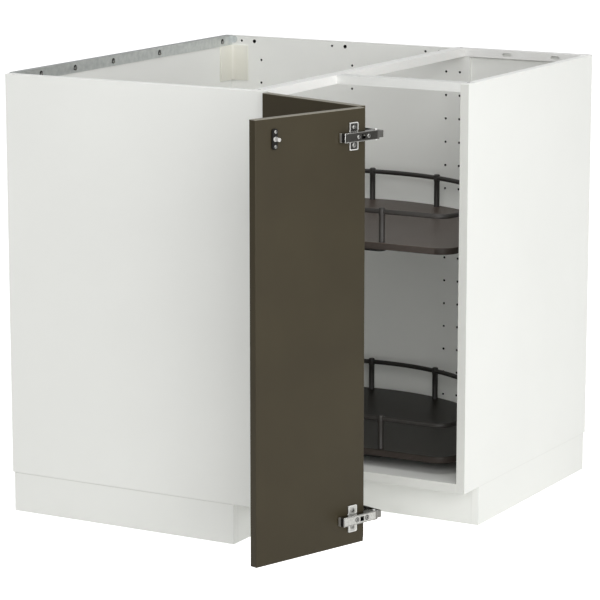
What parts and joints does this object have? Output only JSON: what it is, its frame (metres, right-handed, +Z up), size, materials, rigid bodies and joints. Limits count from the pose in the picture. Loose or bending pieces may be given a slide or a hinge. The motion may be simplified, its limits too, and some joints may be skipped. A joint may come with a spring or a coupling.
{
  "type": "corner base cabinet",
  "caption": "L-shaped kitchen corner base cabinet with open top, folding two-leaf door and stacked turning trays with gallery rails.",
  "frame": {"origin": "sole of the centre leg's foot on the floor, on the axis of the pole that carries the trays", "axes": "+Z up; +X and -Y point into the room, square to the two front planes; the walls are at -X and +Y"},
  "size_m": [0.8751, 1.217, 0.8815],
  "materials": {
    "white_melamine": "matte white melamine",
    "white_hardboard": "matte white foil",
    "beige_plastic": "matte",
    "zinc_steel": "zinc plated",
    "white_steel": "white powder coat",
    "screw_steel": "zinc plated",
    "black_plastic": "matte",
    "grey_plastic": "matte",
    "nickel_steel": "nickel plated",
    "dark_steel": "dark grey powder coat",
    "dark_tray": "dark foil, slightly textured",
    "dark_door": "dark olive brown foil, satin"
  },
  "bodies": {
    "cabinet": {"left_end_panel": "white_melamine", "right_end_panel": "white_melamine", "back_panel": "white_melamine", "back_infill_panel": "white_hardboard", "left_back_panel": "white_melamine", "bottom_panel": "white_melamine", "corner_bracket": "beige_plastic", "wall_rail": "zinc_steel", "cross_rail": "white_steel", "front_rail": "white_steel", "back_rail": "white_steel", "rail_screws": "screw_steel", "pole_flange_screws": "screw_steel", "leg_body_centre": "black_plastic", "leg_body_left_front": "black_plastic", "leg_body_left_back": "black_plastic", "leg_body_wall_corner": "black_plastic", "leg_body_right_back": "black_plastic", "leg_body_right_front": "black_plastic", "leg_foot_centre": "black_plastic", "leg_foot_left_front": "black_plastic", "leg_foot_left_back": "black_plastic", "leg_foot_wall_corner": "black_plastic", "leg_foot_right_back": "black_plastic", "leg_foot_right_front": "black_plastic", "plinth_left_side": "white_melamine", "plinth_left_front": "white_melamine", "plinth_right_front": "white_melamine", "plinth_right_side": "white_melamine", "plinth_clips": "black_plastic", "pole": "dark_steel", "pole_flange": "dark_steel", "upper_collar": "dark_steel", "door_hinge_plate_upper": "nickel_steel", "door_hinge_plate_lower": "nickel_steel", "door_hinge_arm_upper": "nickel_steel", "door_hinge_arm_lower": "nickel_steel"},
    "door_a": {"door_a_panel": "dark_door", "door_hinge_cup_upper": "nickel_steel", "door_hinge_cup_lower": "nickel_steel", "fold_hinge_cup_upper": "nickel_steel", "fold_hinge_cup_lower": "nickel_steel"},
    "door_b": {"door_b_panel": "dark_door", "fold_hinge_plate_upper": "nickel_steel", "fold_hinge_plate_lower": "nickel_steel", "fold_hinge_arm_upper": "nickel_steel", "fold_hinge_arm_lower": "nickel_steel", "fold_hinge_adjusters": "screw_steel", "door_b_screws": "screw_steel", "catch_base": "black_plastic", "catch_peg": "grey_plastic"},
    "upper_tray": {"upper_tray_plate": "dark_tray", "upper_tray_spider": "black_plastic", "upper_tray_rail": "dark_steel", "upper_tray_posts": "dark_steel"},
    "lower_tray": {"lower_tray_plate": "dark_tray", "lower_tray_spider": "black_plastic", "lower_tray_rail": "dark_steel", "lower_tray_posts": "dark_steel"}
  },
  "joints": [
    {"name": "door_a_hinge", "type": "hinge", "parent": "cabinet", "child": "door_a", "pos_m": [0.155, -0.433, 0.48], "axis": [0, 0, 1], "range_deg": [-44.5, 108.5]},
    {"name": "door_fold", "type": "hinge", "parent": "door_a", "child": "door_b", "pos_m": [0.40155, -0.52973, 0.48], "axis": [0, 0, 1], "range_deg": [-60, 0]},
    {"name": "upper_tray_turn", "type": "hinge", "parent": "cabinet", "child": "upper_tray", "pos_m": [0, 0, 0.551], "axis": [0, 0, 1], "range_deg": [-360, 360]},
    {"name": "lower_tray_turn", "type": "hinge", "parent": "cabinet", "child": "lower_tray", "pos_m": [0, 0, 0.134], "axis": [0, 0, 1], "range_deg": [-360, 360]}
  ]
}
